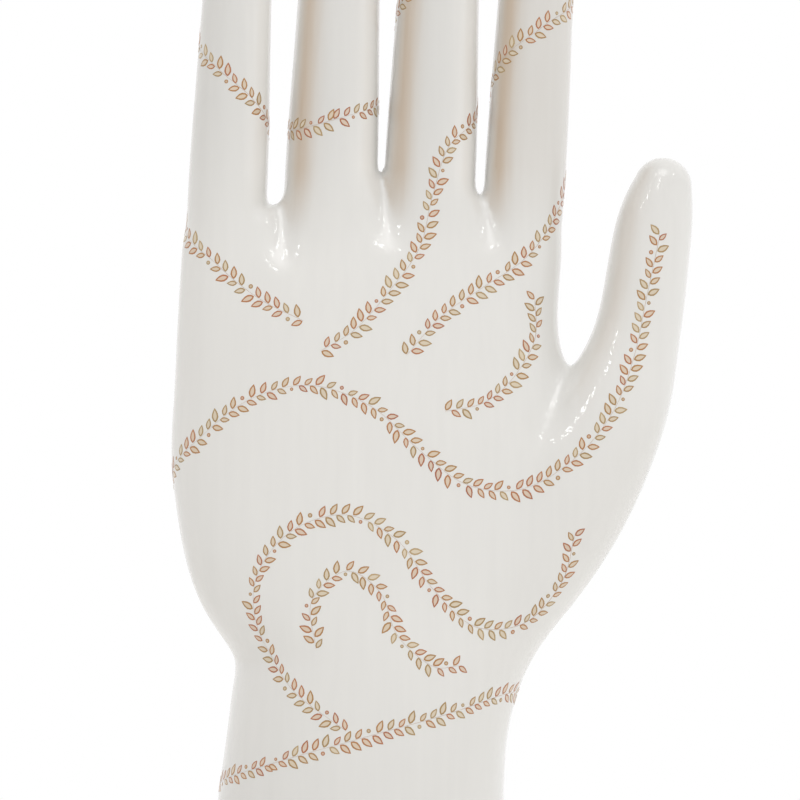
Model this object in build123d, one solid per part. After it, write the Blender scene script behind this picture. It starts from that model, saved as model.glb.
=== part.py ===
"""A hollow porcelain hand that stands upright on its wrist, with a stopper and four felt pads.

Millimetres. +Z is up, -Y is the side that faces the viewer and the thumb is on the +X side. The
origin is at the bottom centre of the whole object's box, on the surface that the pads rest on.
"""
import os
from math import atan2, cos, degrees, pi, radians, sin

from build123d import *

os.makedirs("parts", exist_ok=True)

# Heights above the resting surface
foot_height = 1.5          # the foot's land, on top of the pads
wrist_height = 108.8       # the narrowest part of the wrist
heel_height = 139.5        # the notch under the heel of the palm
palm_height = 183.8        # the widest part of the palm
knuckle_height = 222.0
fork_height = 260.0        # just above the highest fork

# Left edge, right edge and depth at each of those heights, the edges measured from the origin
foot_left, foot_right, foot_depth = -61.1, 23.9, 64.0
wrist_left, wrist_right, wrist_depth = -50.3, 16.9, 49.4
heel_left, heel_right, heel_depth = -46.3, 22.4, 47.4
palm_left, palm_right, palm_depth = -61.1, 37.9, 40.5
knuckle_left, knuckle_right, knuckle_depth = -59.8, 29.6, 31.6
fork_left, fork_right, fork_depth = -56.0, 29.8, 17.6

# Forks between the fingers: place across and height of each bottom
little_fork_place, little_fork_height = -36.4, 249.1
ring_fork_place, ring_fork_height = -12.0, 256.2
index_fork_place, index_fork_height = 10.8, 251.5
arch_end_drop = 3.5        # how far the line through the forks falls towards the hand's edges
arch_overhang = 12.0       # how far that line runs past the edges

# Fingers, round in section: places across at base and tip, height of the tip, widths at base and tip
finger_root_height = 213.0
finger_base_height = 252.0
little_base_place, little_tip_place, little_tip_height = -47.9, -44.7, 309.0
ring_base_place, ring_tip_place, ring_tip_height = -23.7, -19.9, 331.0
middle_base_place, middle_tip_place, middle_tip_height = -0.5, 3.7, 340.0
index_base_place, index_tip_place, index_tip_height = 21.8, 26.2, 327.0
little_base_width, little_tip_width = 18.8, 15.8
ring_base_width, ring_tip_width = 22.0, 18.4
middle_base_width, middle_tip_width = 21.8, 18.4
index_base_width, index_tip_width = 19.6, 16.8
finger_root_share = 0.8    # a finger's root inside the palm against its base

# Thumb: its axis leans out of the palm and a little forward
thumb_root_place, thumb_root_height = 10.0, 141.0
thumb_tip_place, thumb_tip_height = 54.3, 259.4
thumb_forward = 4.0        # how far the tip stands in front of the palm's middle plane
thumb_root_width, thumb_root_depth = 26.4, 31.0
thumb_tip_width, thumb_tip_depth = 16.0, 17.0
tip_round_share = 0.80     # the tip's rounding against the tightest curve of its oval
# Rise and run along the axis, then width and depth on the way from the tip's size to the root's
thumb_shares = [
    (0.00, 0.00, 0.00, 0.00),
    (0.13, 0.24, 0.60, 0.42),
    (0.28, 0.45, 0.95, 0.82),
    (0.43, 0.66, 0.88, 0.78),
    (0.55, 0.79, 0.62, 0.55),
    (0.66, 0.87, 0.43, 0.36),
    (0.78, 0.93, 0.29, 0.22),
    (0.88, 0.96, 0.14, 0.10),
    (1.00, 0.98, 0.00, 0.00),
]

# Wall, foot and pour hole
wall = 4.0
web_wall = 11.0            # solid porcelain under the forks
web_round = 2.0            # the webs' front and back edges
floor_thickness = 5.0
land_width = 11.0          # the ring that the foot stands on
land_recess = 2.5          # how far the floor is set up inside that ring
foot_round = 2.0
pour_hole_diameter = 18.0

# Stopper
stopper_clearance = 0.05   # on the radius, in the pour hole
stopper_seat_gap = 0.2     # between its flange and the floor
stopper_flange_lip = 3.5   # how far its flange stands past the pour hole
stopper_flange_thickness = 1.6
stopper_reach = 3.5        # how far its nose stands above the floor
stopper_nose_chamfer = 1.2
stopper_wall = 2.65        # between its cup and its side
stopper_cup_depth = 5.5
stopper_grip_width = 2.4

# Felt pads on the foot's land
pad_diameter = 8.0
pad_angles = {"front_right_pad": -45, "front_left_pad": -135, "rear_left_pad": 135, "rear_right_pad": 45}

overrun = 5.0              # how far a cutting shape runs past what it cuts

levels = [
    (foot_height, foot_left, foot_right, foot_depth),
    (wrist_height, wrist_left, wrist_right, wrist_depth),
    (heel_height, heel_left, heel_right, heel_depth),
    (palm_height, palm_left, palm_right, palm_depth),
    (knuckle_height, knuckle_left, knuckle_right, knuckle_depth),
    (fork_height, fork_left, fork_right, fork_depth),
]

# Sections of the wrist and palm. Each row starts at a level and gives its rise, left edge, right edge
# and depth as shares of the step to the next level, then the power that squares its outline, and the
# depth of the valleys between the fingers as a share of the section's depth. The first row lies below
# the foot, where the loft is cut flat.
section_shares = [
    (0, -0.08, -0.08, -0.10, -0.08, 2.00, 0.00),
    (0, 0.00, 0.00, 0.00, 0.00, 2.00, 0.00),
    (0, 0.10, 0.12, 0.17, 0.13, 2.00, 0.00),
    (0, 0.27, 0.33, 0.43, 0.34, 2.00, 0.00),
    (0, 0.64, 0.70, 0.84, 0.76, 2.00, 0.00),
    (1, 0.00, 0.00, 0.00, 0.00, 2.05, 0.00),
    (1, 0.53, 0.57, 0.27, 0.50, 2.10, 0.00),
    (1, 0.92, 0.98, 0.82, 0.90, 2.10, 0.00),
    (2, 0.08, 0.05, 0.12, 0.06, 2.10, 0.00),
    (2, 0.26, 0.40, 0.46, 0.24, 2.15, 0.00),
    (2, 0.47, 0.68, 0.81, 0.45, 2.20, 0.00),
    (2, 0.71, 0.88, 0.99, 0.70, 2.25, 0.00),
    (3, 0.00, 0.00, 0.00, 0.00, 2.25, 0.00),
    (3, 0.32, 0.05, 0.33, 0.18, 2.30, 0.00),
    (3, 0.63, 0.38, 0.80, 0.52, 2.40, 0.02),
    (4, 0.00, 0.00, 0.00, 0.00, 2.50, 0.10),
    (4, 0.34, 0.27, 0.30, 0.50, 2.60, 0.24),
    (4, 0.66, 0.66, 0.60, 0.88, 2.80, 0.42),
    (5, 0.00, 0.00, 0.00, 0.00, 3.00, 0.55),
]
edge_shares = [0.03, 0.97]
widest_section = 12       # the row whose outline sets the spacing for all
oval_points = 8


def between(low, high, share):
    return low + (high - low) * share


def rounded_thickness(share, squareness):
    """Thickness of a section across its width, from 0 at its edges to 1 in its middle."""
    return (1 - abs(2 * share - 1) ** squareness) ** (1 / squareness)


def valley_places():
    """The three forks' places as shares of the width there."""
    places = [little_fork_place, ring_fork_place, index_fork_place]
    return [(place - fork_left) / (fork_right - fork_left) for place in places]


def outline_points(row, inset):
    """The points of one outline across the wrist or palm, drawn in by inset all round."""
    level, rise, left_step, right_step, depth_step, squareness, valley_depth = row
    low = levels[level]
    high = levels[min(level + 1, len(levels) - 1)]
    height = between(low[0], high[0], rise)
    left = between(low[1], high[1], left_step) + inset
    right = between(low[2], high[2], right_step) - inset
    half_depth = between(low[3], high[3], depth_step) / 2 - inset
    valleys = valley_places()
    marks = [0] + valleys + [1]
    crests = [(a + b) / 2 for a, b in zip(marks, marks[1:])]
    front = []
    for share in sorted(edge_shares + valleys + crests):
        thickness = half_depth * rounded_thickness(share, squareness)
        if share in valleys:
            thickness *= 1 - valley_depth
        front.append((between(left, right, share), thickness))
    points = [Vector(left, 0, height)]
    points += [Vector(place, -thickness, height) for place, thickness in front]
    points += [Vector(right, 0, height)]
    points += [Vector(place, thickness, height) for place, thickness in reversed(front)]
    return points


def chord_shares(points):
    """How far round a closed outline each point lies, from 0 at the first to 1 back there."""
    lengths = [(after - before).length for before, after in zip(points, points[1:] + points[:1])]
    return [sum(lengths[:count]) / sum(lengths) for count in range(len(points) + 1)]


def trunk(inset):
    """Foot, wrist and palm as one loft, up to just above the forks. Its outlines share their parameters."""
    outlines = [outline_points(row, inset) for row in section_shares]
    parameters = chord_shares(outlines[widest_section])
    edges = [Edge.make_spline(points, periodic=True, parameters=parameters) for points in outlines]
    return loft([make_face(edge) for edge in edges])


def up_to_forks(floor, drop):
    """Everything from floor up to the curved line that joins the forks, lowered by drop."""
    low_end = min(little_fork_height, index_fork_height) - arch_end_drop - drop
    line = Spline(
        (fork_left - arch_overhang, low_end),
        (little_fork_place, little_fork_height - drop),
        (ring_fork_place, ring_fork_height - drop),
        (index_fork_place, index_fork_height - drop),
        (fork_right + arch_overhang, low_end),
    )
    sides = Polyline(
        line @ 1, (fork_right + arch_overhang, floor), (fork_left - arch_overhang, floor), line @ 0)
    return extrude(Plane.XZ * make_face([line, sides]), foot_depth, both=True)


def square_to(points, index):
    """The plane square to a path at one of its points, its x axis towards the back."""
    before = points[max(index - 1, 0)]
    after = points[min(index + 1, len(points) - 1)]
    along = (after - before).normalized()
    return Plane(origin=points[index], x_dir=Vector(0, 1, 0) - along * along.Y, z_dir=along)


def oval(width, depth):
    """A closed smooth oval through a few evenly spaced points, its seam at the back."""
    angles = [2 * pi * turn / oval_points for turn in range(oval_points)]
    points = [Vector(depth / 2 * cos(angle), width / 2 * sin(angle)) for angle in angles]
    parameters = [turn / oval_points for turn in range(oval_points + 1)]
    return make_face(Edge.make_spline(points, periodic=True, parameters=parameters))


def finger(base_place, tip_place, tip_height, base_width, tip_width, inset):
    """One straight round finger, tapered to a ball-shaped tip, its root inside the palm."""
    tip_radius = tip_width / 2 - inset
    base_radius = base_width / 2 - inset
    length = tip_height - inset - finger_base_height
    root = finger_root_height - finger_base_height
    side = Polyline(
        (0, root), (base_radius * finger_root_share, root), (base_radius, 0), (tip_radius, length - tip_radius))
    tip = CenterArc((0, length - tip_radius), tip_radius, 0, 90)
    profile = make_face([side, tip, Line((0, length), (0, root))])
    lean = degrees(atan2(tip_place - base_place, tip_height - finger_base_height))
    return Pos(base_place, 0, finger_base_height) * Rot(0, lean, 0) * revolve(Plane.YZ * profile, Axis.Z, 360)


def thumb(inset):
    """The thumb, from inside its mound to its rounded tip."""
    points = []
    sizes = []
    for rise, run, width_share, depth_share in thumb_shares:
        height = min(between(thumb_root_height, thumb_tip_height, rise), thumb_tip_height - inset)
        points.append(Vector(
            between(thumb_root_place, thumb_tip_place, run), -thumb_forward * rise, height))
        sizes.append((between(thumb_tip_width, thumb_root_width, width_share) - 2 * inset,
                      between(thumb_tip_depth, thumb_root_depth, depth_share) - 2 * inset))
    sections = [square_to(points, index) * oval(*size) for index, size in enumerate(sizes)]
    limb = loft(sections)
    tip_width, tip_depth = sizes[-1]
    tightest = tip_width**2 / (2 * tip_depth)
    return fillet(limb.faces().sort_by(Axis.Z)[-1].edges(), tightest * tip_round_share)


def with_limbs(palm, inset):
    """The palm with its thumb and four fingers, all drawn in by inset."""
    fingers = [
        (little_base_place, little_tip_place, little_tip_height, little_base_width, little_tip_width),
        (ring_base_place, ring_tip_place, ring_tip_height, ring_base_width, ring_tip_width),
        (middle_base_place, middle_tip_place, middle_tip_height, middle_base_width, middle_tip_width),
        (index_base_place, index_tip_place, index_tip_height, index_base_width, index_tip_width),
    ]
    form = palm + thumb(inset)
    for sizes in fingers:
        form += finger(*sizes, inset)
    return form


foot_centre = (foot_left + foot_right) / 2
foot_half_width = (foot_right - foot_left) / 2
foot_half_depth = foot_depth / 2
floor_bottom = foot_height + land_recess
floor_top = floor_bottom + floor_thickness


def foot_oval(inset):
    return Pos(foot_centre, 0) * Ellipse(foot_half_width - inset, foot_half_depth - inset)


def foot_corner():
    """What the rounded lower edge of the foot takes away: an oval ring of quarter-round section."""
    arc_centre = (foot_half_width - foot_round, foot_height + foot_round)
    outer = foot_half_width + foot_round
    profile = make_face([
        CenterArc(arc_centre, foot_round, -90, 90),
        Line((foot_half_width, arc_centre[1]), (outer, arc_centre[1])),
        Line((outer, arc_centre[1]), (outer, 0)),
        Line((outer, 0), (arc_centre[0], 0)),
        Line((arc_centre[0], 0), (arc_centre[0], foot_height)),
    ])
    ring = revolve(Plane.XZ * profile, Axis.Z, 360)
    return Pos(foot_centre, 0, 0) * scale(ring, by=(1, foot_half_depth / foot_half_width, 1))


def hand_shell():
    """The slip-cast shell: the hand's form, its hollow, the recess under the foot and the pour hole."""
    palm = trunk(0) & up_to_forks(foot_height, 0)
    palm = fillet(palm.faces().sort_by(Axis.Z)[-1].edges(), web_round)
    palm -= foot_corner()
    palm -= extrude(foot_oval(land_width), floor_bottom)
    palm -= Pos(foot_centre, 0, 0) * Cylinder(
        pour_hole_diameter / 2, floor_top + overrun, align=(Align.CENTER, Align.CENTER, Align.MIN))
    inner_palm = trunk(wall) & up_to_forks(floor_top, web_wall)
    return with_limbs(palm, 0) - with_limbs(inner_palm, wall)


def vent_stopper():
    """A soft plug with a flange under the floor, cupped from below, with a bar across to grip it by."""
    radius = pour_hole_diameter / 2 - stopper_clearance
    flange_top = floor_bottom - stopper_seat_gap
    flange_bottom = flange_top - stopper_flange_thickness
    nose_top = floor_top + stopper_reach
    flange_radius = pour_hole_diameter / 2 + stopper_flange_lip
    cup_radius = radius - stopper_wall
    profile = make_face(Polyline(
        (0, flange_bottom),
        (flange_radius, flange_bottom),
        (flange_radius, flange_top),
        (radius, flange_top),
        (radius, nose_top - stopper_nose_chamfer),
        (radius - stopper_nose_chamfer, nose_top),
        (0, nose_top),
        close=True,
    ))
    plug = revolve(Plane.XZ * profile, Axis.Z, 360)
    cup = Pos(0, 0, flange_bottom) * Cylinder(
        cup_radius, stopper_cup_depth, align=(Align.CENTER, Align.CENTER, Align.MIN))
    grip = Pos(0, 0, flange_bottom) * Box(
        2 * cup_radius, stopper_grip_width, stopper_cup_depth,
        align=(Align.CENTER, Align.CENTER, Align.MIN))
    return Pos(foot_centre, 0, 0) * (plug - (cup - grip))


def pad(angle):
    """A round felt pad, centred on the foot's land."""
    place = foot_centre + (foot_half_width - land_width / 2) * cos(radians(angle))
    forward = (foot_half_depth - land_width / 2) * sin(radians(angle))
    return Pos(place, forward, 0) * Cylinder(
        pad_diameter / 2, foot_height, align=(Align.CENTER, Align.CENTER, Align.MIN))


export_step(hand_shell(), "parts/hand_shell.step")
export_step(vent_stopper(), "parts/vent_stopper.step")
for pad_name, pad_angle in pad_angles.items():
    export_step(pad(pad_angle), f"parts/{pad_name}.step")
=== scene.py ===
import math

import bpy
import numpy as np
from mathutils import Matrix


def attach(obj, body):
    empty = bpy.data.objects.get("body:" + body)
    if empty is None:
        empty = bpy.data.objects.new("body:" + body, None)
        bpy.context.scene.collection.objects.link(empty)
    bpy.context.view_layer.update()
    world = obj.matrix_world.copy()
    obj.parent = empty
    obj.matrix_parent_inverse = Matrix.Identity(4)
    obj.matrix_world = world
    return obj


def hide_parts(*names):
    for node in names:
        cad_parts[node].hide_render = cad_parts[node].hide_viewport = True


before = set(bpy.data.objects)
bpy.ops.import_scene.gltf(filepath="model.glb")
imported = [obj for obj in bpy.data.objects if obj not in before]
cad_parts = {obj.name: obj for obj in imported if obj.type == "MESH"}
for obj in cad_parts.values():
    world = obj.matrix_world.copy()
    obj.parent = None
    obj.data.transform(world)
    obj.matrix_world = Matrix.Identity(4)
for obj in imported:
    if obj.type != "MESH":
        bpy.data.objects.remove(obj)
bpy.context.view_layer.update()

import openvdb
from mathutils import Vector, noise

mm = 0.001
print("frame loaded")

# the view: straight on to the palm, a long lens, cut off at the fingertips and below the wrist
view = {
    "across": -7.5,            # what the middle of the picture looks at, mm
    "up": 202.6,
    "distance": 1500.0,
    "shown": 188.0,            # height and width of what the picture takes in
    "sensor": 36.0,            # width of the camera's sensor, mm
    "farthest": 100.0,         # metres
}

# the hand, in millimetres
hand = {
    "foot": 1.5,               # the land stands on the pads
    "footRound": 4.0,
    "footZone": 20.0,          # below this the recess and the pour hole count
    "recess": 4.0,             # underside of the floor
    "recessRound": 1.5,
    "floor": 9.0,              # its top, inside
    "floorRound": 2.0,
    "wall": 4.0,
    "landWidth": 11.0,
    "footCentre": -18.6,
    "pourHole": 9.0,           # radius
    "pourRound": 0.8,
    "pourPast": 3.0,           # how far the cut for the pour hole runs past the floor
    "step": 1.12,              # size of a face outside
    "hollowStep": 2.4,         # and inside
    "room": ((-66.0, -36.0, -3.0), (66.0, 36.0, 345.0)),   # low and high corner of the space it fills
    "archBlend": 6.0,
    "fingerBlend": 5.0,
    "crotchBlend": 1.6,
    "leastBlend": 0.01,        # share of the crotch blend that is left inside the palm
    "fingersFrom": 190.0,      # below this the fingers don't count
    # height, left edge, right edge, depth and squareness of the outline
    "outlines": [
        (1.5, -61.1, 23.9, 64.0, 2.00),
        (40.0, -56.5, 20.1, 57.4, 2.00),
        (78.0, -52.9, 17.5, 52.0, 2.00),
        (109.0, -50.3, 16.9, 49.4, 2.05),
        (125.0, -48.1, 18.0, 48.6, 2.10),
        (136.5, -46.6, 20.2, 47.6, 2.10),
        (142.0, -46.5, 21.4, 46.9, 2.10),
        (147.0, -49.4, 22.6, 46.2, 2.12),
        (153.0, -53.3, 24.8, 45.3, 2.15),
        (163.0, -57.3, 29.0, 43.8, 2.20),
        (176.0, -59.9, 32.4, 41.6, 2.25),
        (191.0, -61.2, 34.6, 39.4, 2.25),
        (206.0, -60.4, 32.6, 36.2, 2.30),
        (220.0, -59.6, 29.2, 31.8, 2.40),
        (234.0, -58.4, 29.1, 25.4, 2.50),
        (247.0, -57.2, 29.2, 17.6, 2.60),
        (262.0, -56.2, 29.4, 9.0, 2.70),
    ],
    # the soft hollow that runs down from each fork: place across, its lower and upper end
    "hollows": [(-34.6, 231.0, 249.0), (-10.0, 235.5, 255.0), (14.0, 235.5, 251.0)],
    "hollowDepth": 4.2,
    "hollowWidth": 3.4,
    # across and up, for the line that joins the forks
    "arch": [(-70.0, 238.0), (-52.0, 243.0), (-36.4, 248.4), (-24.0, 252.0), (-12.0, 254.6), (0.0, 253.0),
             (10.8, 250.3), (24.0, 243.0), (42.0, 234.0)],
}

# place across at the base and at the tip, height of the tip, radii at the root, base, middle and tip
fingers = {
    "little": (-48.0, -45.2, 309.0, 7.4, 9.3, 8.75, 8.0),
    "ring": (-23.8, -20.4, 331.0, 8.6, 10.9, 9.95, 9.0),
    "middle": (-0.6, 3.4, 340.0, 8.8, 10.8, 9.8, 8.9),
    "index": (21.7, 26.2, 327.0, 7.8, 9.5, 9.1, 8.3),
}
fingerRoot = 206.0
fingerBase = 252.0

# the thumb's axis from inside the wrist to its tip: across, forward, up, then its radius
thumb = {
    "axis": [
        (0.0, 0.0, 129.0, 6.0),
        (9.6, -1.0, 146.0, 10.8),
        (19.8, -2.2, 161.0, 14.0),
        (29.6, -3.0, 176.0, 15.0),
        (38.0, -4.6, 191.0, 13.9),
        (44.2, -4.8, 205.0, 12.1),
        (47.8, -4.2, 217.0, 10.25),
        (49.7, -3.9, 227.0, 9.7),
        (51.0, -4.0, 236.5, 9.35),
        (52.6, -4.0, 246.0, 8.5),
        (54.1, -4.0, 252.6, 6.8),
    ],
    "steps": 90,
    "moundBlend": 13.0,
    "crotchBlend": 7.6,
    "blendFrom": 186.0,
    "blendTo": 204.0,
    "zone": (-12.0, 108.0, 275.0),   # left of, below and above this the thumb doesn't count
}


# a smooth curve through the given places
def smoothLine(xs, ys):
    xs, ys = np.asarray(xs, float), np.asarray(ys, float)
    gaps = np.diff(xs)
    count = len(xs)
    system, right = np.zeros((count, count)), np.zeros(count)
    system[0, 0] = system[-1, -1] = 1
    for i in range(1, count - 1):
        system[i, i - 1:i + 2] = gaps[i - 1], 2 * (gaps[i - 1] + gaps[i]), gaps[i]
        right[i] = 6 * ((ys[i + 1] - ys[i]) / gaps[i] - (ys[i] - ys[i - 1]) / gaps[i - 1])
    bend = np.linalg.solve(system, right)

    def value(x):
        x = np.clip(x, xs[0], xs[-1])
        i = np.clip(np.searchsorted(xs, x) - 1, 0, count - 2)
        a = (xs[i + 1] - x) / gaps[i]
        b = 1 - a
        curved = (a**3 - a) * bend[i] + (b**3 - b) * bend[i + 1]
        return a * ys[i] + b * ys[i + 1] + curved * gaps[i]**2 / 6
    return value


def smoothMin(a, b, blend):
    near = np.maximum(blend - np.abs(a - b), 0) / blend
    return np.minimum(a, b) - near**3 * blend / 6


def smoothMax(a, b, blend):
    return -smoothMin(-a, -b, blend)


outlines = np.array(hand["outlines"])
leftAt, rightAt, depthAt, squareAt = [smoothLine(outlines[:, 0], outlines[:, c]) for c in (1, 2, 3, 4)]
archAt = smoothLine(*np.array(hand["arch"]).T)


# the wrist and the palm, up to the line that joins the forks
def trunkField(p):
    x, y, z = p.T
    left, right, power = leftAt(z), rightAt(z), squareAt(z)
    halfWidth, halfDepth = (right - left) / 2, depthAt(z) / 2
    u = np.maximum(np.abs(x - (left + right) / 2) / halfWidth, 1e-6)
    v = np.maximum(np.abs(y) / halfDepth, 1e-6)
    reach = (u**power + v**power)**(1 / power)
    slopeU = (u / reach)**(power - 1) / halfWidth
    slopeV = (v / reach)**(power - 1) / halfDepth
    around = (reach - 1) / np.hypot(slopeU, slopeV)
    for place, low, high in hand["hollows"]:
        rise = np.clip((z - low) / (high - low), 0, 1)
        across = np.exp(-((x - place) / hand["hollowWidth"])**2)
        around = around + hand["hollowDepth"] * across * rise**2 * (3 - 2 * rise)
    return smoothMax(around, z - archAt(x), hand["archBlend"])


def fingerField(p, sizes):
    basePlace, tipPlace, tipHeight, rootRadius, baseRadius, midRadius, tipRadius = sizes
    top = tipHeight - tipRadius
    lean = (tipPlace - basePlace) / (tipHeight - fingerBase)
    radiusAt = smoothLine([fingerRoot, fingerBase, (fingerBase + top) / 2, top],
                          [rootRadius, baseRadius, midRadius, tipRadius])
    x, y, z = p.T
    along = np.clip(z, fingerRoot, top)
    across = x - basePlace - (along - fingerBase) * lean
    across = across * np.where(z < top, 1 / math.hypot(1, lean), 1)
    return np.sqrt(across**2 + y**2 + (z - along)**2) - radiusAt(along)


def axisOf(points, steps):
    points = np.asarray(points, float)
    along = np.concatenate([[0], np.cumsum(np.linalg.norm(np.diff(points[:, :3], axis=0), axis=1))])
    at = np.linspace(0, along[-1], steps)
    made = np.array([smoothLine(along, points[:, c])(at) for c in range(4)]).T
    return made[:, :3], made[:, 3]


thumbCentres, thumbRadii = axisOf(thumb["axis"], thumb["steps"])


def thumbField(p):
    out = np.empty(len(p))
    batch = 100000
    for start in range(0, len(p), batch):
        part = p[start:start + batch]
        gaps = np.sqrt(((part[:, None, :] - thumbCentres[None])**2).sum(2)) - thumbRadii
        low = np.clip(np.argmin(gaps, 1), 1, len(thumbRadii) - 2)
        row = np.arange(len(part))
        before, here, after = gaps[row, low - 1], gaps[row, low], gaps[row, low + 1]
        curve = np.maximum(before + after - 2 * here, 1e-9)
        shift = np.clip((before - after) / (2 * curve), -1, 1)   # evens out the steps between centres
        out[start:start + batch] = here + (after - before) * shift / 2 + curve * shift**2 / 2
    return out


# how far a point lies outside the hand's outer form
def handField(p):
    out = trunkField(p)
    near = p[:, 2] > hand["fingersFrom"]
    if near.any():
        trunk = out[near]
        fused = trunk
        for sizes in fingers.values():
            one = smoothMin(trunk, fingerField(p[near], sizes), hand["fingerBlend"])
            both = np.minimum(trunk - fused, trunk - one) / hand["crotchBlend"]
            fused = smoothMin(fused, one, hand["crotchBlend"] * np.clip(both, hand["leastBlend"], 1))
        out[near] = fused
    left, low, high = thumb["zone"]
    near = (p[:, 0] > left) & (p[:, 2] > low) & (p[:, 2] < high)
    if near.any():
        share = np.clip((p[near, 2] - thumb["blendFrom"]) / (thumb["blendTo"] - thumb["blendFrom"]), 0, 1)
        share = share**2 * (3 - 2 * share)
        blend = thumb["moundBlend"] + (thumb["crotchBlend"] - thumb["moundBlend"]) * share
        out[near] = smoothMin(out[near], thumbField(p[near]), blend)
    return smoothMax(out, hand["foot"] - p[:, 2], hand["footRound"])


# the outer form with the recess under the foot and the pour hole
def shellField(p):
    out = handField(p)
    near = p[:, 2] < hand["footZone"]
    if near.any():
        x, y, z = p[near].T
        x = x - hand["footCentre"]
        halfWidth = (outlines[0, 2] - outlines[0, 1]) / 2 - hand["landWidth"]
        halfDepth = outlines[0, 3] / 2 - hand["landWidth"]
        oval = (np.hypot(x / halfWidth, y / halfDepth) - 1) * halfDepth
        recess = smoothMax(oval, z - hand["recess"], hand["recessRound"])
        pocket = np.maximum(np.hypot(x, y) - hand["pourHole"], z - hand["floor"] - hand["pourPast"])
        recessed = smoothMax(out[near], -recess, hand["recessRound"])
        out[near] = smoothMax(recessed, -pocket, hand["pourRound"])
    return out


def hollowField(p):
    return smoothMax(handField(p) + hand["wall"], hand["floor"] - p[:, 2], hand["floorRound"])


def slopeOf(field, p):
    reach = 0.05
    slope = np.empty_like(p)
    for axis in range(3):
        nudge = np.zeros(3)
        nudge[axis] = reach
        slope[:, axis] = field(p + nudge) - field(p - nudge)
    return slope / (2 * reach)


# moves points onto the field's surface
def settle(field, p, rounds):
    flattest = 0.05            # keeps a step short where the field hardly slopes
    for _ in range(rounds):
        slope = slopeOf(field, p)
        p = p - slope * (field(p) / np.maximum((slope**2).sum(1), flattest))[:, None]
    return p


# a closed mesh of quads on the field's zero surface
def meshOf(name, field, step):
    low, high = hand["room"]
    counts = [int((b - a) / step) + 2 for a, b in zip(low, high)]
    xs, ys, zs = [a + step * np.arange(n) for a, n in zip(low, counts)]
    values = np.empty(counts, np.float32)
    flatX, flatY = [a.ravel() for a in np.meshgrid(xs, ys, indexing="ij")]
    slab = 8                   # layers worked out at once
    for start in range(0, counts[2], slab):
        part = zs[start:start + slab]
        layers = len(part)
        p = np.stack([np.repeat(flatX, layers), np.repeat(flatY, layers), np.tile(part, len(flatX))], 1)
        values[:, :, start:start + slab] = field(p).reshape(counts[0], counts[1], layers)
    grid = openvdb.FloatGrid(background=50.0)
    grid.copyFromArray(values)
    points, quads = grid.convertToQuads(isovalue=0.0)
    points = np.asarray(low) + np.asarray(points, float) * step
    points = settle(field, points, rounds=2)
    mesh = bpy.data.meshes.new(name)
    mesh.from_pydata((points * mm).tolist(), [], np.asarray(quads).tolist())
    mesh.update()
    return mesh


def newPiece(name, data):
    piece = bpy.data.objects.new(name, data)
    bpy.context.scene.collection.objects.link(piece)
    return piece


def evaluatedMesh(piece):
    return bpy.data.meshes.new_from_object(piece.evaluated_get(bpy.context.evaluated_depsgraph_get()))


def makeHand():
    piece = newPiece("porcelainHand", meshOf("porcelainHand", shellField, hand["step"]))
    hollow = newPiece("hollow", meshOf("hollow", hollowField, hand["hollowStep"]))
    print("outer faces", len(piece.data.polygons), "inner faces", len(hollow.data.polygons))
    cut = piece.modifiers.new("hollow", "BOOLEAN")
    cut.operation, cut.solver, cut.object = "DIFFERENCE", "MANIFOLD", hollow
    whole = evaluatedMesh(piece)
    piece.modifiers.clear()
    piece.data = whole
    bpy.data.objects.remove(hollow)
    whole.name = "porcelainHand"
    return piece


porcelainHand = makeHand()
print("hand made", len(porcelainHand.data.vertices), len(porcelainHand.data.polygons))


# painted shade and light on the fingers' flanks: tan where a flank turns to the left, paler where it faces
# a gap; turns are radians round from the front, to the left
flankShadeAndLight = {
    "turn": 0.74,
    "spread": 0.30,
    "from": 241.0,             # fades in between these heights
    "to": 257.0,
    "leftOf": -36.0,           # the little finger has none
    "thumbStrength": 0.38,
    "thumbFrom": 196.0,
    "thumbFade": 20.0,
    "thumbPast": 34.0,         # the thumb lies to the right of this
    "indexWarmth": 0.13,       # the index finger is a little warmer all round
    "indexPast": 15.0,
    "paleTurn": -1.0,          # painted light: the other flanks, which face a gap, are made paler in the colour
    "paleSpread": 0.48,
    "paleUpTo": 16.0,
}


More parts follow.
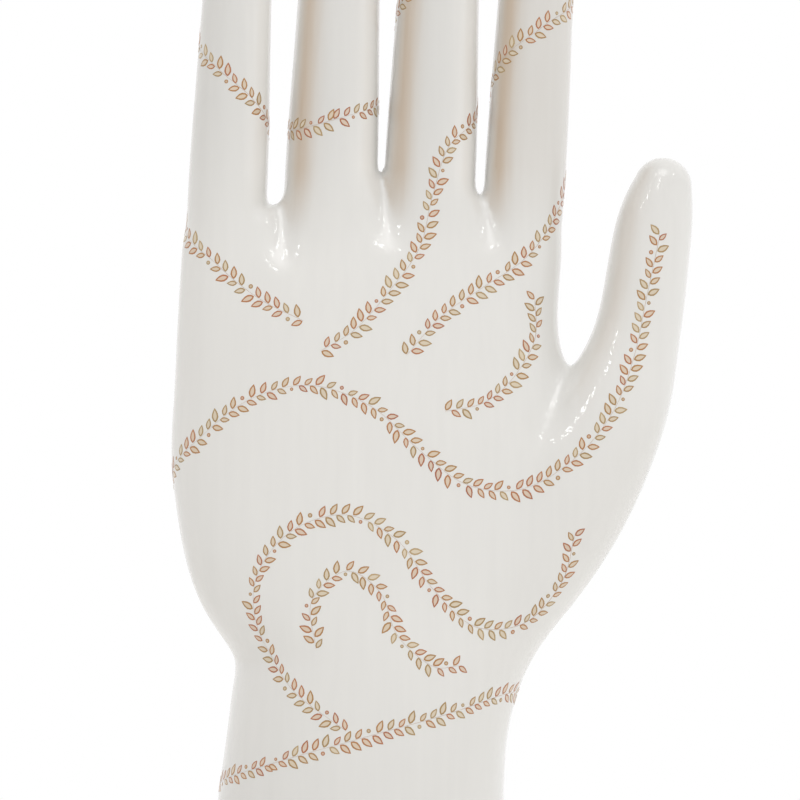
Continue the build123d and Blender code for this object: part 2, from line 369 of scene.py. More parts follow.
# stores at each point the painted shade (tan on the flanks turned to the left, with the index finger's
# warmth) and the painted light (paler flanks that face a gap)
def markPaintedFlanks(piece):
    mesh = piece.data
    count = len(mesh.vertices)
    places, normals = np.empty(count * 3), np.empty(count * 3)
    mesh.vertices.foreach_get("co", places)
    mesh.vertices.foreach_get("normal", normals)
    p, n = places.reshape(-1, 3) / mm, normals.reshape(-1, 3)
    turn = np.arctan2(-n[:, 0], np.abs(n[:, 1]))
    upright = 1 - np.abs(n[:, 2])
    # painted shade: tan on the flanks turned to the left
    flank = np.exp(-((turn - flankShadeAndLight["turn"]) / flankShadeAndLight["spread"])**2) * upright
    rise = np.clip((p[:, 2] - flankShadeAndLight["from"]) / (flankShadeAndLight["to"] - flankShadeAndLight["from"]), 0, 1)
    onThumb = p[:, 0] > flankShadeAndLight["thumbPast"]
    thumbRise = np.clip((p[:, 2] - flankShadeAndLight["thumbFrom"]) / flankShadeAndLight["thumbFade"], 0, 1) * flankShadeAndLight["thumbStrength"]
    strength = np.where(onThumb, thumbRise, rise * (p[:, 0] > flankShadeAndLight["leftOf"]))
    warmth = flankShadeAndLight["indexWarmth"] * rise * ((p[:, 0] > flankShadeAndLight["indexPast"]) & ~onThumb)
    # painted light: paler flanks that face a gap
    flankLight = np.exp(-((turn - flankShadeAndLight["paleTurn"]) / flankShadeAndLight["paleSpread"])**2) * upright * rise
    flankLight = flankLight * (p[:, 0] < flankShadeAndLight["paleUpTo"])
    for name, values in (("paintedFlankLight", flankLight), ("flankShadeAndWarmth", flank * strength + warmth)):
        stored = mesh.attributes.new(name, "FLOAT", "POINT")
        stored.data.foreach_set("value", values.astype(np.float32))


# adds a node; a value is set on the named or numbered input, or linked to it if it is an output
def add(tree, kind, values=None, **settings):
    node = tree.nodes.new(kind)
    for key, value in settings.items():
        setattr(node, key, value)
    for key, value in (values or {}).items():
        if isinstance(value, bpy.types.NodeSocket):
            tree.links.new(value, node.inputs[key])
        else:
            node.inputs[key].default_value = value
    return node


def newMaterial(name):
    material = bpy.data.materials.new(name)
    material.use_nodes = True
    tree = material.node_tree
    return material, tree, tree.nodes["Principled BSDF"]


def placeOn(tree):
    return add(tree, "ShaderNodeTexCoord").outputs["Object"]


def cloudy(tree, place, scale, detail, **more):
    values = {"Vector": place, "Scale": scale, "Detail": detail}
    values.update((key.capitalize(), value) for key, value in more.items())
    return add(tree, "ShaderNodeTexNoise", values).outputs["Fac"]


def calc(tree, operation, *values, clamp=False):
    node = add(tree, "ShaderNodeMath", dict(enumerate(values)), operation=operation, use_clamp=clamp)
    return node.outputs[0]


def ranged(tree, value, given, made, kind="LINEAR"):
    names = ("From Min", "From Max", "To Min", "To Max")
    ends = {"Value": value, **dict(zip(names, (*given, *made)))}
    return add(tree, "ShaderNodeMapRange", ends, interpolation_type=kind).outputs[0]


def tinted(tree, share, first, second, kind="MIX"):
    colours = {0: share, 6: first, 7: second}
    return add(tree, "ShaderNodeMix", colours, data_type="RGBA", blend_type=kind).outputs[2]


def attribute(tree, name):
    return add(tree, "ShaderNodeAttribute", attribute_name=name).outputs["Fac"]


def bumped(tree, height, strength, distance):
    values = {"Height": height, "Strength": strength, "Distance": distance}
    return add(tree, "ShaderNodeBump", values).outputs[0]


# scales are features a metre, heights and distances metres
porcelain = {
    "body": (0.760, 0.752, 0.730, 1),
    # painted shade: the tan that darkens the flanks turned to the left
    "flankShadeColour": (0.56, 0.46, 0.36, 1),
    "roughness": 0.32,
    "glazeRoughness": 0.035,
    "glazeIor": 1.5,           # refractive index
    "cloudScale": 14.0,
    "cloudDetail": 3.0,
    "cloudTone": 0.05,
    "streakScale": 420.0,
    "streakDetail": 2.0,
    "streakStretch": 0.05,     # the streaks run up and down
    "streakTone": 0.05,
    "flankShadeBreak": (0.7, 1.25),
    "fingerShade": 0.91,        # painted shade: the colour darkens up the fingers and down the wrist, a shade greyer than the palm
    "fingerShadeHeights": (0.232, 0.275),
    "wristShade": 0.93,
    "wristShadeHeights": (0.095, 0.155),
    # painted light: how much paler the flanks that face a gap are made
    "flankLightTone": 0.25,
    "speck": (0.30, 0.28, 0.26, 1),
    "speckScale": 46.0,
    "speckSize": 0.012,
    "speckRarity": 0.80,       # share of the cells without a speck
    "rippleScale": 280.0,
    "rippleDetail": 2.5,
    "rippleRoughness": 0.6,
    "ripple": 0.36,            # strength of the glaze's fine ripple
    "rippleHeight": 0.0004,
    "glazeLine": 2.3 * mm,     # height of the glaze's lower edge
}


def makeGlaze():
    material, tree, shader = newMaterial("porcelainGlaze")
    place = placeOn(tree)
    up = add(tree, "ShaderNodeSeparateXYZ", {0: place}).outputs["Z"]

    cloud = cloudy(tree, place, porcelain["cloudScale"], porcelain["cloudDetail"])
    stretch = (1, 1, porcelain["streakStretch"])
    stretched = add(tree, "ShaderNodeMapping", {"Vector": place, "Scale": stretch}).outputs[0]
    streak = cloudy(tree, stretched, porcelain["streakScale"], porcelain["streakDetail"])
    clouds = calc(tree, "MULTIPLY", cloud, porcelain["cloudTone"])
    marks = calc(tree, "MULTIPLY_ADD", streak, porcelain["streakTone"], clouds)
    lightest = 1 + (porcelain["cloudTone"] + porcelain["streakTone"]) / 2
    light = calc(tree, "SUBTRACT", lightest, marks)

    # painted shade: darker up the fingers and down the wrist
    high = ranged(tree, up, porcelain["fingerShadeHeights"], (1.0, porcelain["fingerShade"]), "SMOOTHSTEP")
    low = ranged(tree, up, porcelain["wristShadeHeights"], (porcelain["wristShade"], 1.0), "SMOOTHSTEP")
    # painted light on the flanks that face a gap
    flankLight = calc(tree, "MULTIPLY_ADD", attribute(tree, "paintedFlankLight"), porcelain["flankLightTone"], 1.0)
    # all the painted light and shade of the body colour, multiplied together
    zone = calc(tree, "MULTIPLY", calc(tree, "MULTIPLY", high, low), flankLight)
    body = tinted(tree, 1.0, porcelain["body"], calc(tree, "MULTIPLY", light, zone), "MULTIPLY")

    # painted shade: tan on the flanks turned to the left, broken up by the streaks
    broken = ranged(tree, streak, (0, 1), porcelain["flankShadeBreak"])
    flankShade = calc(tree, "MULTIPLY", attribute(tree, "flankShadeAndWarmth"), broken, clamp=True)
    flankShaded = tinted(tree, flankShade, body, porcelain["flankShadeColour"])

    cells = add(tree, "ShaderNodeTexVoronoi", {"Vector": place, "Scale": porcelain["speckScale"]})
    close = calc(tree, "LESS_THAN", cells.outputs["Distance"], porcelain["speckSize"])
    chance = add(tree, "ShaderNodeSeparateColor", {0: cells.outputs["Color"]}).outputs[0]
    speck = calc(tree, "MULTIPLY", close, calc(tree, "GREATER_THAN", chance, porcelain["speckRarity"]))
    tree.links.new(tinted(tree, speck, flankShaded, porcelain["speck"]), shader.inputs["Base Color"])

    ripple = cloudy(tree, place, porcelain["rippleScale"], porcelain["rippleDetail"],
                    roughness=porcelain["rippleRoughness"])
    waves = bumped(tree, ripple, porcelain["ripple"], porcelain["rippleHeight"])
    tree.links.new(waves, shader.inputs["Coat Normal"])
    shader.inputs["Roughness"].default_value = porcelain["roughness"]
    shader.inputs["Coat Weight"].default_value = 1.0
    shader.inputs["Coat Roughness"].default_value = porcelain["glazeRoughness"]
    shader.inputs["Coat IOR"].default_value = porcelain["glazeIor"]
    return material


# a rough body colour, lighter and darker by one fine noise that also roughens it
def makeGrainy(name, look):
    material, tree, shader = newMaterial(name)
    grain = cloudy(tree, placeOn(tree), look["scale"], look["detail"], distortion=look["distortion"])
    tone = ranged(tree, grain, (0, 1), look["tones"])
    tree.links.new(tinted(tree, 1.0, look["colour"], tone, "MULTIPLY"), shader.inputs["Base Color"])
    tree.links.new(bumped(tree, grain, look["bump"], look["height"]), shader.inputs["Normal"])
    shader.inputs["Roughness"].default_value = look["roughness"]
    shader.inputs["Sheen Weight"].default_value = look["sheen"]
    return material


bareFoot = {
    "colour": (0.66, 0.62, 0.55, 1),
    "scale": 1500.0,
    "detail": 4.0,
    "distortion": 0.0,
    "tones": (0.86, 1.08),
    "bump": 0.4,
    "height": 0.0001,
    "roughness": 0.85,
    "sheen": 0.0,
}


def finishHand(piece):
    markPaintedFlanks(piece)
    mesh = piece.data
    mesh.shade_smooth()
    mesh.materials.clear()
    mesh.materials.append(makeGlaze())
    mesh.materials.append(makeGrainy("bareFoot", bareFoot))
    facesDown = -0.5           # the rise of a bare face's normal is less than this
    for face in mesh.polygons:
        if face.center.z < porcelain["glazeLine"] and face.normal.z < facesDown:
            face.material_index = 1
    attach(piece, "hand")
    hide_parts("hand_shell")


finishHand(porcelainHand)
print("glaze done")

# fired-on garlands: across, up, and which side the point lies on
# (-1 the photographed side, 1 the back, 0 the edge)
garlands = {
    "braceletGarland": {
        "closed": True,
        "points": [(-38, 118, -1), (-18, 124, -1), (4, 130, -1), (17, 134, -1), (19.5, 133, 0),
                   (12, 128, 1), (-8, 119, 1), (-28, 112, 1), (-43, 110, 1), (-49, 112, 0)],
    },
    "palmGarland": {
        "closed": False,
        "points": [(22, 176, 1), (4, 184, 1), (-16, 180, 1), (-34, 172, 1), (-50, 176, 1), (-60, 184, 0),
                   (-54, 194, -1), (-42, 203, -1), (-28, 206, -1), (-14, 201, -1), (-3, 191, -1),
                   (8, 183, -1), (21, 182, -1), (33, 189, -1), (42, 200, -1), (47, 213, -1),
                   (50, 227, -1), (53, 241, -1)],
    },
    "risingGarland": {
        "closed": False,
        "points": [(-20, 126, -1), (-33, 136, -1), (-40, 148, -1), (-41, 161, -1), (-33, 172, -1),
                   (-20, 176, -1), (-8, 170, -1), (0, 159, -1), (10, 150, -1), (22, 151, -1),
                   (30, 160, -1), (33, 171, -1)],
    },
    "indexGarland": {
        "closed": False,
        "points": [(-6, 213, -1), (2, 222, -1), (12, 229, -1), (22, 236, -1), (29, 246, -1), (31.5, 254, 0),
                   (26, 263, 1), (17, 270, 1), (13.6, 276, 0), (17, 283, -1), (26, 290, -1), (33, 297, 0),
                   (29, 304, 1), (20, 311, 1), (17, 316, 0)],
    },
    "littleGarland": {
        "closed": False,
        "points": [(-30, 221, -1), (-40, 226, -1), (-50, 234, -1), (-57.5, 244, 0), (-52, 253, 1),
                   (-43, 260, 1), (-38.5, 266, 0), (-42, 273, -1), (-50, 280, -1), (-54.5, 287, 0),
                   (-49, 294, 1)],
    },
    "middleGarland": {
        "closed": False,
        "points": [(-26, 214, -1), (-18, 219, -1), (-10, 228, -1), (-3, 238, -1), (0, 250, -1),
                   (4, 262, -1), (10.4, 271, 0), (5, 280, 1), (-4, 286, 1), (-8.6, 292, 0),
                   (-4, 299, -1), (4, 304, -1), (11.5, 309, 0)],
    },
    "innerGarland": {
        "closed": False,
        "points": [(-27, 145, -1), (-28, 156, -1), (-20, 163, -1), (-12, 158, -1), (-8, 148, -1),
                   (0, 141, -1), (6, 141, -1)],
    },
    "palmSprig": {
        "closed": False,
        "points": [(3, 200, -1), (12, 202, -1), (19, 208, -1), (24, 217, -1), (24, 226, -1)],
    },
    "ringFingerGarland": {
        "closed": True,
        "points": [(-23, 268, -1), (-14, 271, -1), (-12.6, 272, 0), (-15, 272, 1), (-23, 270, 1),
                   (-31, 267, 1), (-33.2, 266, 0), (-31, 266, -1)],
    },
}

# leaves, berries and stem in millimetres; shares are of a leaf's length, half width or thickness
enamel = {
    "leafLength": 3.0,
    "leafWidth": 1.55,
    "leafStalk": 0.25,
    "leafShares": [0.0, 0.14, 0.36, 0.62, 0.85, 1.0],
    "swellShares": [0.10, 0.66, 1.0, 0.86, 0.42, 0.03],
    "heartShare": 0.46,        # where the leaf's outline shrinks towards
    "lineWidth": 0.29,
    "pointLines": 2.4,         # how many line widths the points take up
    "coreShares": (0.9, 0.75),
    "thickness": 0.06,
    "edgeShare": 0.6,
    "coreShare": 0.8,
    "sunk": 0.04,
    "leafSpacing": 1.30,
    "leafTilt": 47.0,          # degrees
    "tiltShares": (0.8, 1.2),
    "scaleLow": 0.8,
    "scaleHigh": 1.1,
    "berryRadius": 0.50,
    "berrySides": 10,
    "berryRings": (1, 0.7, 0.4),
    "berryReach": 1.15,
    "berrySwell": 1.2,
    "berryCore": 0.35,
    "berryEvery": 9.0,         # every ninth motif is a berry
    "stemWidth": 0.34,
    "stemHeight": 0.096,
    "stemTint": 0.25,
    "stemLine": 0.8,
    "seed": 5,
    "colours": [(0.0, (0.33, 0.085, 0.030, 1)), (0.3, (0.41, 0.145, 0.040, 1)),
                (0.55, (0.39, 0.185, 0.040, 1)), (0.8, (0.34, 0.215, 0.070, 1)),
                (1.0, (0.44, 0.305, 0.140, 1))],
    "hues": (0.35, 1.55),      # the sum of chance and drift that the colours span
    "driftScale": 60.0,
    "driftDetail": 2.0,
    "wash": (0.76, 0.68, 0.55, 1),
    "washShare": 0.72,
    "roughness": 0.35,
    "glaze": 0.8,
    "glazeRoughness": 0.06,
}


# the point of the hand's surface at that place, straight in from that side or from its edge
def onSurface(x, z, side):
    wellOutside, halvings = 50.0, 30
    if side == 0:
        start = np.array([[x, 0.0, z]])
        return settle(handField, start, rounds=8)[0]
    inside, outside = 0.0, side * wellOutside
    for _ in range(halvings):
        middle = (inside + outside) / 2
        if handField(np.array([[x, middle, z]], float))[0] < 0:
            inside = middle
        else:
            outside = middle
    return np.array([x, inside, z])


# a smooth line over the glaze through those places
def pathOf(points, closed):
    knots = np.array([onSurface(*point) for point in points])
    if closed:
        knots = np.vstack([knots[-1], knots, knots[0], knots[1]])
    else:
        knots = np.vstack([2 * knots[0] - knots[1], knots, 2 * knots[-1] - knots[-2]])
    line = []
    for a, b, c, d in zip(knots, knots[1:], knots[2:], knots[3:]):
        steps = max(int(np.linalg.norm(c - b)), 2)
        for t in np.arange(steps) / steps:
            line.append(b + 0.5 * t * (c - a + t * (2 * a - 5 * b + 4 * c - d + t * (3 * (b - c) + d - a))))
    if not closed:
        line.append(knots[-2])
    return settle(handField, np.array(line), rounds=6)


# a thin closed blank from rings of points, the first sunk into the glaze; each has its line's strength
def motif(name, rings):
    count = len(rings[0][0])
    points, lines, faces = [], [], []
    for outline, height, line in rings:
        points += [(x * mm, y * mm, height * mm) for x, y in outline]
        lines += [line] * count
    for ring in range(len(rings) - 1):
        for i in range(count):
            a, b = ring * count + i, ring * count + (i + 1) % count
            faces.append((a, b, b + count, a + count))
    faces += [tuple(reversed(range(count))), tuple(range(len(points) - count, len(points)))]
    mesh = bpy.data.meshes.new(name)
    mesh.from_pydata(points, [], faces)
    mesh.attributes.new("lift", "FLOAT", "POINT").data.foreach_set("value", [z for _, _, z in points])
    mesh.attributes.new("line", "FLOAT", "POINT").data.foreach_set("value", lines)
    return bpy.data.objects.new(name, mesh)


def leafBlank():
    length, width = enamel["leafLength"], enamel["leafWidth"]
    line, thick = enamel["lineWidth"], enamel["thickness"]
    shares = zip(enamel["leafShares"], enamel["swellShares"])
    lower = [(enamel["leafStalk"] + s * length, -w * width / 2) for s, w in shares]
    edge = lower + [(x, -y) for x, y in reversed(lower)]
    middle = enamel["leafStalk"] + length * enamel["heartShare"]
    shrinkX, shrinkY = 1 - enamel["pointLines"] * line / length, 1 - 2 * line / width
    coreX, coreY = enamel["coreShares"]
    inner = [(middle + (x - middle) * shrinkX, y * shrinkY) for x, y in edge]
    core = [(middle + (x - middle) * shrinkX * coreX, y * shrinkY * coreY) for x, y in edge]
    return motif("leafBlank", [
        (edge, -enamel["sunk"], 1), (edge, thick * enamel["edgeShare"], 1),
        (inner, thick, 1), (core, thick * enamel["coreShare"], 0)])


def berryBlank():
    radius, thick, count = enamel["berryRadius"], enamel["thickness"], enamel["berrySides"]
    middle = enamel["leafStalk"] + enamel["berryReach"]
    turns = [2 * math.pi * i / count for i in range(count)]
    edge, inner, core = [[(middle + radius * s * math.cos(t), radius * s * math.sin(t)) for t in turns]
                         for s in enamel["berryRings"]]
    return motif("berryBlank", [
        (edge, -enamel["sunk"], 1), (edge, thick * enamel["edgeShare"], 1),
        (inner, thick, 1), (core, thick * enamel["berrySwell"], enamel["berryCore"])])


def makeEnamel():
    material, tree, shader = newMaterial("copperEnamel")
    drift = cloudy(tree, placeOn(tree), enamel["driftScale"], enamel["driftDetail"])
    hue = calc(tree, "ADD", attribute(tree, "tint"), drift)
    ramp = add(tree, "ShaderNodeValToRGB", {"Fac": ranged(tree, hue, enamel["hues"], (0, 1))})
    steps = ramp.color_ramp.elements
    while len(steps) < len(enamel["colours"]):
        steps.new(0.5)
    for step, (share, colour) in zip(steps, enamel["colours"]):
        step.position, step.color = share, colour
    inked = ramp.outputs["Color"]
    washed = tinted(tree, enamel["washShare"], inked, enamel["wash"])
    tree.links.new(tinted(tree, attribute(tree, "line"), washed, inked), shader.inputs["Base Color"])
    shader.inputs["Roughness"].default_value = enamel["roughness"]
    shader.inputs["Coat Weight"].default_value = enamel["glaze"]
    shader.inputs["Coat Roughness"].default_value = enamel["glazeRoughness"]
    return material


def atSurface(tree, surface, value):
    values = {"Mesh": surface, "Value": value}
    return add(tree, "GeometryNodeSampleNearestSurface", values, data_type="FLOAT_VECTOR").outputs[0]


def chanceOf(tree, low, high, seed):
    return add(tree, "FunctionNodeRandomValue", {2: low, 3: high, 8: seed}, data_type="FLOAT").outputs[1]


def marked(tree, geometry, name, value, domain="POINT"):
    values = {"Geometry": geometry, "Name": name, "Value": value}
    return add(tree, "GeometryNodeStoreNamedAttribute", values, data_type="FLOAT", domain=domain).outputs[0]


# leaves, berries and a stem along each line, laid on the surface of another object
def garlandTree():
    tree = bpy.data.node_groups.new("garland", "GeometryNodeTree")
    face = tree.interface
    face.new_socket("Geometry", in_out="OUTPUT", socket_type="NodeSocketGeometry")
    face.new_socket("Geometry", in_out="INPUT", socket_type="NodeSocketGeometry")
    for name, kind in (("Surface", "Object"), ("Leaf", "Object"), ("Berry", "Object"),
                       ("Leaf Spacing", "Float"), ("Leaf Tilt", "Float"),
                       ("Scale Low", "Float"), ("Scale High", "Float"), ("Berry Every", "Float"),
                       ("Stem Width", "Float"), ("Stem Height", "Float"),
                       ("Seed", "Int"), ("Enamel", "Material")):
        face.new_socket(name, in_out="INPUT", socket_type="NodeSocket" + kind)
    given = add(tree, "NodeGroupInput").outputs
    line = add(tree, "GeometryNodeMeshToCurve", {0: given["Geometry"]}).outputs[0]
    surface = add(tree, "GeometryNodeObjectInfo", {0: given["Surface"]}).outputs["Geometry"]
    place = add(tree, "GeometryNodeInputPosition").outputs[0]
    nearPlace = atSurface(tree, surface, place)
    nearNormal = atSurface(tree, surface, add(tree, "GeometryNodeInputNormal").outputs[0])

    # every point of the line gets a leaf, left and right by turns, or a berry
    spaced = {"Curve": line, "Length": given["Leaf Spacing"]}
    points = add(tree, "GeometryNodeResampleCurve", spaced, mode="LENGTH").outputs[0]
    along = add(tree, "GeometryNodeInputTangent").outputs[0]
    flat = add(tree, "FunctionNodeAxesToRotation", {0: nearNormal, 1: along},
               primary_axis="Z", secondary_axis="X").outputs[0]
    index = add(tree, "GeometryNodeInputIndex").outputs[0]
    side = calc(tree, "MULTIPLY_ADD", calc(tree, "MODULO", index, 2.0), 2.0, -1.0)
    loose = chanceOf(tree, *enamel["tiltShares"], given["Seed"])
    turn = calc(tree, "MULTIPLY", calc(tree, "MULTIPLY", given["Leaf Tilt"], loose), side)
    upTurn = add(tree, "ShaderNodeCombineXYZ", {2: turn}).outputs[0]
    spin = add(tree, "FunctionNodeEulerToRotation", {0: upTurn}).outputs[0]
    spun = add(tree, "FunctionNodeRotateRotation", {0: flat, 1: spin}, rotation_space="LOCAL").outputs[0]
    size = chanceOf(tree, given["Scale Low"], given["Scale High"], given["Seed"])
    count = calc(tree, "MODULO", index, given["Berry Every"])
    joined = add(tree, "GeometryNodeJoinGeometry")
    for blank, test in ((given["Leaf"], "GREATER_THAN"), (given["Berry"], "LESS_THAN")):
        shape = add(tree, "GeometryNodeObjectInfo", {0: blank}).outputs["Geometry"]
        made = add(tree, "GeometryNodeInstanceOnPoints", {
            "Points": points, "Selection": calc(tree, test, count, 0.5), "Instance": shape,
            "Rotation": spun, "Scale": size}).outputs[0]
        tree.links.new(made, joined.inputs[0])
    hue = chanceOf(tree, 0.0, 1.0, given["Seed"])
    motifs = marked(tree, joined.outputs[0], "tint", hue, "INSTANCE")

    outward = {"Curve": line, "Normal": nearNormal}
    upright = add(tree, "GeometryNodeSetCurveNormal", outward, mode="FREE").outputs[0]
    section = {0: given["Stem Width"], 1: given["Stem Height"]}
    strip = add(tree, "GeometryNodeCurvePrimitiveQuadrilateral", section)
    height = add(tree, "ShaderNodeSeparateXYZ", {0: place}).outputs["Y"]
    strip = marked(tree, strip.outputs[0], "lift", height)
    rod = {"Curve": upright, "Profile Curve": strip, "Fill Caps": True}
    stem = add(tree, "GeometryNodeCurveToMesh", rod).outputs[0]
    for name, value in (("tint", enamel["stemTint"]), ("line", enamel["stemLine"])):
        stem = marked(tree, stem, name, value)

    # each point goes to the surface and then out by its own height over the blank's foot
    whole = add(tree, "GeometryNodeJoinGeometry")
    for part in (motifs, stem):
        tree.links.new(part, whole.inputs[0])
    real = add(tree, "GeometryNodeRealizeInstances", {0: whole.outputs[0]}).outputs[0]
    lift = add(tree, "GeometryNodeInputNamedAttribute", {"Name": "lift"}, data_type="FLOAT").outputs[0]
    raised = add(tree, "ShaderNodeVectorMath", {0: nearNormal, "Scale": lift}, operation="SCALE").outputs[0]
    laid = add(tree, "ShaderNodeVectorMath", {0: nearPlace, 1: raised}, operation="ADD").outputs[0]
    conformed = add(tree, "GeometryNodeSetPosition", {"Geometry": real, "Position": laid}).outputs[0]
    enamelled = {"Geometry": conformed, "Material": given["Enamel"]}
    coloured = add(tree, "GeometryNodeSetMaterial", enamelled).outputs[0]
    tree.links.new(coloured, add(tree, "NodeGroupOutput").inputs[0])
    return tree


# every garland's line over the glaze, as loose edges in one mesh
def garlandLines():
    points, edges = [], []
    for shape in garlands.values():
        path = pathOf(shape["points"], shape["closed"])
        first, count = len(points), len(path)
        points += (path * mm).tolist()
        edges += [(first + i, first + i + 1) for i in range(count - 1)]
        if shape["closed"]:
            edges.append((first + count - 1, first))
    mesh = bpy.data.meshes.new("leafGarlands")
    mesh.from_pydata(points, edges, [])
    return mesh


def makeGarlands():
    piece = newPiece("leafGarlands", garlandLines())
    leaf, berry = leafBlank(), berryBlank()
    modifier = piece.modifiers.new("garland", "NODES")
    modifier.node_group = garlandTree()
    values = {
        "Surface": porcelainHand,
        "Leaf": leaf,
        "Berry": berry,
        "Leaf Spacing": enamel["leafSpacing"] * mm,
        "Leaf Tilt": math.radians(enamel["leafTilt"]),
        "Scale Low": enamel["scaleLow"],
        "Scale High": enamel["scaleHigh"],
        "Berry Every": enamel["berryEvery"],
        "Stem Width": enamel["stemWidth"] * mm,
        "Stem Height": enamel["stemHeight"] * mm,
        "Seed": enamel["seed"],
        "Enamel": makeEnamel(),
    }
    for item in modifier.node_group.interface.items_tree:
        if item.name in values:
            modifier[item.identifier] = values[item.name]
    made = evaluatedMesh(piece)
    piece.modifiers.clear()
    piece.data = made
    made.name = "leafGarlands"
    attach(piece, "hand")
    bpy.data.objects.remove(leaf)
    bpy.data.objects.remove(berry)
    print("garland faces", len(made.polygons))


makeGarlands()
print("garlands done")


# the stopper keeps the shape it was built with
milkySilicone = {
    "colour": (0.70, 0.69, 0.66, 1),
    "scale": 300.0,
    "detail": 3.0,
    "distortion": 0.0,
    "tones": (0.92, 1.04),
    "bump": 0.15,
    "height": 0.0001,
    "roughness": 0.5,
    "sheen": 0.0,
}

woolFelt = {
    "colour": (0.36, 0.34, 0.30, 1),
    "scale": 3500.0,
    "detail": 5.0,
    "distortion": 1.5,
    "tones": (0.65, 1.25),
    "bump": 0.8,
    "height": 0.0002,
    "roughness": 0.95,
    "sheen": 0.4,
}

# radius and height of a pad's rings, from the middle of its underside to the middle of its top
pads = {
    "rings": [(0.0, 0.03), (1.3, 0.0), (2.4, 0.0), (3.2, 0.02), (3.6, 0.08), (3.82, 0.22), (3.92, 0.45),
              (3.94, 0.75), (3.92, 1.05), (3.82, 1.28), (3.6, 1.42), (3.2, 1.48), (2.4, 1.5), (1.3, 1.5),
              (0.0, 1.5)],
    "turns": 72,
    "fuzz": 0.05,              # how far the pressed wool's edge wanders, mm
    "fuzzRise": 0.025,         # and its face
    "fuzzScale": 2.2,
    "fuzzShift": (0, 0, 9),    # where the face reads the noise
}


# a soft-edged disc of pressed wool in the place of the plain pad
def padMesh(node, material):
    corners = np.array([vertex.co for vertex in node.data.vertices])
    middle = (corners.min(0) + corners.max(0)) / 2 / mm
    rings, count = pads["rings"], pads["turns"]
    widest, top = max(radius for radius, _ in rings), rings[-1][1]
    points = []
    for radius, height in rings[1:-1]:
        for i in range(count):
            turn = 2 * math.pi * i / count
            x, y = math.cos(turn), math.sin(turn)
            place = Vector((middle[0] + radius * x, middle[1] + radius * y, height)) * pads["fuzzScale"]
            loose = noise.noise(place) * pads["fuzz"] * radius / widest
            rise = noise.noise(place + Vector(pads["fuzzShift"])) * pads["fuzzRise"]
            level = min(max(height + rise, 0), top)
            points.append((middle[0] + (radius + loose) * x, middle[1] + (radius + loose) * y, level))
    low, high, last = len(points), len(points) + 1, len(points) - count
    points += [(middle[0], middle[1], rings[0][1]), (middle[0], middle[1], top)]
    faces = []
    for i in range(count):
        after = (i + 1) % count
        faces += [(first + i, first + after, first + count + after, first + count + i)
                  for first in range(0, last, count)]
        faces += [(low, after, i), (high, last + i, last + after)]
    mesh = bpy.data.meshes.new("feltPad")
    mesh.from_pydata([(x * mm, y * mm, z * mm) for x, y, z in points], [], faces)
    mesh.shade_smooth()
    mesh.materials.append(material)
    return mesh


def finishFoot():
    silicone, felt = makeGrainy("milkySilicone", milkySilicone), makeGrainy("woolFelt", woolFelt)
    for name, node in list(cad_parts.items()):
        if name == "vent_stopper":
            node.data.materials.clear()
            node.data.materials.append(silicone)
        elif name.endswith("_pad"):
            pad = newPiece("felt_" + name, padMesh(node, felt))
            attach(pad, "hand")
            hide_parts(name)


finishFoot()
print("stopper and pads done")


studio = {
    "floorColour": (0.93, 0.93, 0.925, 1),
    "floorRoughness": 0.6,
    "floorRadius": 1.0,        # metres
    "floorSides": 128,
    # the room is lightest to the right in front, and darkest and warmest opposite
    "bright": (1.0, 0.995, 0.985, 1),
    "dim": (1.0, 0.955, 0.90, 1),
    "brightSide": (0.72, -0.45, 0.53),
    "brightStrength": 0.99,
    "dimStrength": 0.34,
    "behindStrength": 0.56,    # what the lit backdrop adds
    "behindFade": (0.0, 0.6),  # a direction's backward part where that starts and where it is full
    "aim": (0, 0, 0.24),
    "lampDistance": 1.2,
    # degrees round to the right, degrees up, width, height, watts, spread; all aim at the palm
    "lamps": {
        "softbox": (0.0, 58.0, 1.0, 0.6, 0.26, 46.0),
        "highLeftGlint": (-38.0, 53.0, 0.12, 0.04, 0.14, 180.0),
        "highMiddleGlint": (-20.0, 55.0, 0.12, 0.04, 0.14, 180.0),
        "highRightGlint": (25.0, 56.0, 0.12, 0.04, 0.14, 180.0),
        "farRightGlint": (56.0, 45.0, 0.12, 0.04, 0.14, 180.0),
        "sideUpperGlint": (-42.0, 37.0, 0.08, 0.06, 0.17, 180.0),
        "sideLowerGlint": (-52.0, 31.0, 0.08, 0.06, 0.17, 180.0),
        "frontRightGlint": (11.0, 46.0, 0.14, 0.04, 0.16, 180.0),
        "frontLeftGlint": (-10.0, 39.0, 0.14, 0.04, 0.16, 180.0),
    },
}


def makeFloor():
    mesh = bpy.data.meshes.new("floor")
    count, radius = studio["floorSides"], studio["floorRadius"]
    turns = [2 * math.pi * i / count for i in range(count)]
    rim = [(radius * math.cos(t), radius * math.sin(t), 0) for t in turns]
    mesh.from_pydata(rim, [], [list(range(count))])
    floor = newPiece("floor", mesh)
    material, _, shader = newMaterial("paleFloor")
    shader.inputs["Base Color"].default_value = studio["floorColour"]
    shader.inputs["Roughness"].default_value = studio["floorRoughness"]
    mesh.materials.append(material)


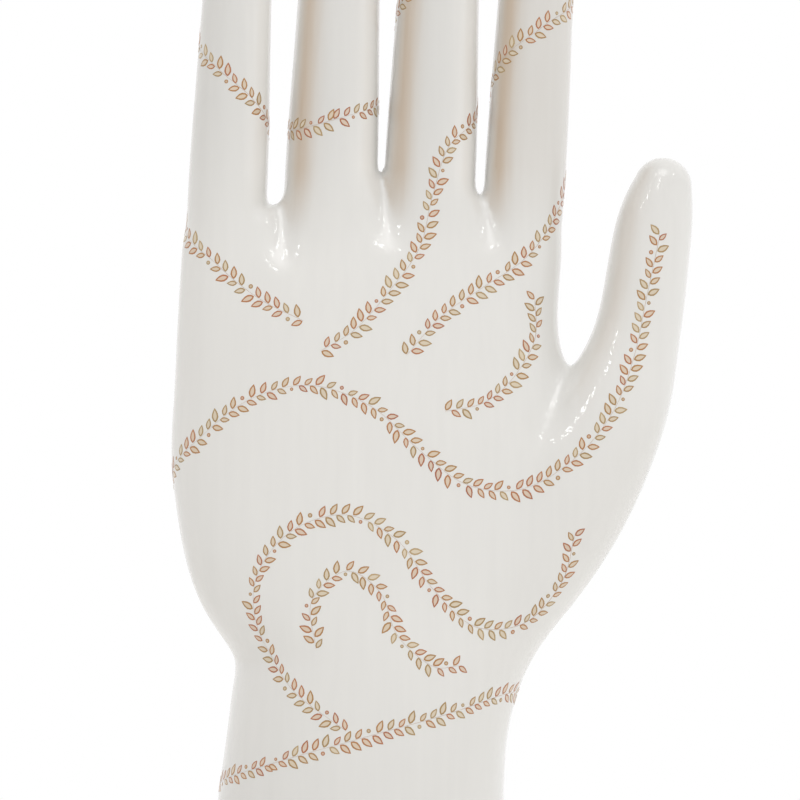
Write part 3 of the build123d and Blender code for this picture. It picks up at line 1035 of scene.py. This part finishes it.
# a softly graded room for the surfaces, plain white where the camera, gloss or glass looks past them
def makeRoom():
    world = bpy.data.worlds.new("studio")
    bpy.context.scene.world = world
    world.use_nodes = True
    tree = world.node_tree
    room = tree.nodes["Background"]
    way = add(tree, "ShaderNodeTexCoord").outputs["Generated"]
    lean = add(tree, "ShaderNodeVectorMath", {0: way, 1: studio["brightSide"]}, operation="DOT_PRODUCT")
    share = ranged(tree, lean.outputs["Value"], (-1.0, 1.0), (0, 1))
    tone = tinted(tree, share, studio["dim"], studio["bright"])
    wall = ranged(tree, share, (0, 1), (studio["dimStrength"], studio["brightStrength"]))
    back = add(tree, "ShaderNodeSeparateXYZ", {0: way}).outputs["Y"]
    backdrop = ranged(tree, back, studio["behindFade"], (0, studio["behindStrength"]))
    tree.links.new(tone, room.inputs["Color"])
    tree.links.new(calc(tree, "ADD", wall, backdrop), room.inputs["Strength"])
    seen = add(tree, "ShaderNodeBackground", {"Color": (1, 1, 1, 1), "Strength": 1.0})
    path = add(tree, "ShaderNodeLightPath").outputs
    direct = calc(tree, "MAXIMUM", path["Is Camera Ray"], path["Is Glossy Ray"])
    clear = calc(tree, "MAXIMUM", direct, path["Is Transmission Ray"])
    mix = add(tree, "ShaderNodeMixShader", {0: clear, 1: room.outputs[0], 2: seen.outputs[0]})
    tree.links.new(mix.outputs[0], tree.nodes["World Output"].inputs["Surface"])


def makeLamps():
    aim = Vector(studio["aim"])
    for name, (turn, rise, width, height, power, spread) in studio["lamps"].items():
        turn, rise = math.radians(turn), math.radians(rise)
        way = Vector((math.sin(turn) * math.cos(rise), -math.cos(turn) * math.cos(rise), math.sin(rise)))
        data = bpy.data.lights.new(name, "AREA")
        data.shape, data.size, data.size_y, data.energy = "RECTANGLE", width, height, power
        data.spread = math.radians(spread)
        lamp = newPiece(name, data)
        lamp.location = aim + way * studio["lampDistance"]
        lamp.rotation_euler = way.to_track_quat("Z", "Y").to_euler()
        lamp.visible_camera = False


makeFloor()
makeRoom()
makeLamps()

lens = bpy.data.cameras.new("camera")
camera = newPiece("camera", lens)
camera.location = (view["across"] * mm, -view["distance"] * mm, view["up"] * mm)
camera.rotation_euler = (math.pi / 2, 0, 0)
lens.sensor_width = view["sensor"]
lens.lens = lens.sensor_width * view["distance"] / view["shown"]
lens.clip_end = view["farthest"]
bpy.context.scene.camera = camera
bpy.context.scene.view_settings.view_transform = "Standard"
print("stage done")
